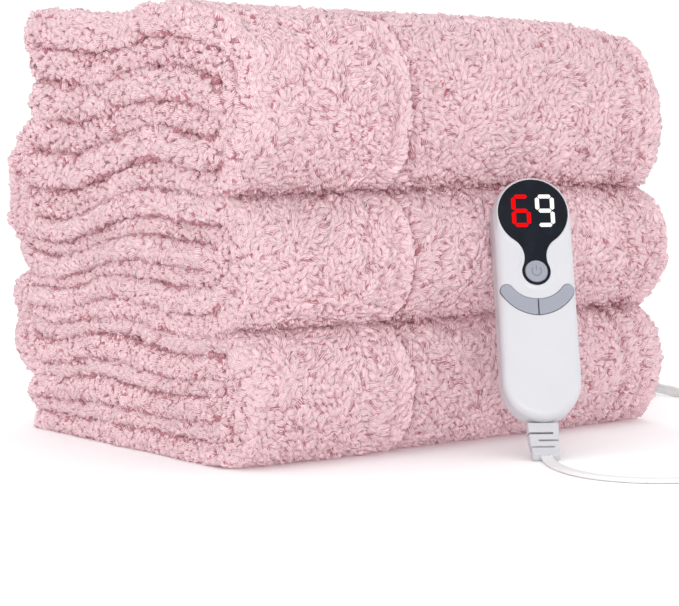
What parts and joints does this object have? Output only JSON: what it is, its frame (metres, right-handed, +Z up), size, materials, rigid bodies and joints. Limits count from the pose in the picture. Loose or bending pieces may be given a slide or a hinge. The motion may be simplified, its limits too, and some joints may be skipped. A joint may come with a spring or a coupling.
{
  "type": "folded electric heated blanket with hand controller",
  "caption": "Curly pile heated throw folded into a stack of three lobes, with a three-key hand controller leaning on it and a tied mains lead.",
  "frame": {"origin": "on the floor under the middle of the folded stack, on its flat underside", "axes": "+Z up; the rounded front of the stack faces -Y; its layered end faces -X"},
  "size_m": [0.4417, 0.434, 0.2582],
  "materials": {
    "pile_cloth": "light pink curly pile on both sides, matte",
    "shell": "white satin plastic",
    "display": "black gloss window",
    "keys": "grey satin plastic",
    "lead": "white soft plastic",
    "tie": "white matte strap",
    "pins": "bright metal"
  },
  "bodies": {
    "blanket": {"throw": "pile_cloth", "controller_front": "shell", "controller_back": "shell", "display_panel": "display", "strain_relief": "lead", "lead": "lead", "lead_coil": "lead", "lead_tail": "lead", "lead_tie": "tie", "plug": "lead", "pin_left": "pins", "pin_right": "pins"},
    "power": {"power_button": "keys"},
    "left_level": {"left_key": "keys"},
    "right_level": {"right_key": "keys"}
  },
  "joints": [
    {"name": "power_press", "type": "slide", "parent": "blanket", "child": "power", "axis": [0.505, 0.7776, -0.3746], "range_m": [0, 0.0008], "stiffness_N_per_m": 400},
    {"name": "left_press", "type": "slide", "parent": "blanket", "child": "left_level", "axis": [0.505, 0.7776, -0.3746], "range_m": [0, 0.0008], "stiffness_N_per_m": 400},
    {"name": "right_press", "type": "slide", "parent": "blanket", "child": "right_level", "axis": [0.505, 0.7776, -0.3746], "range_m": [0, 0.0008], "stiffness_N_per_m": 400}
  ]
}
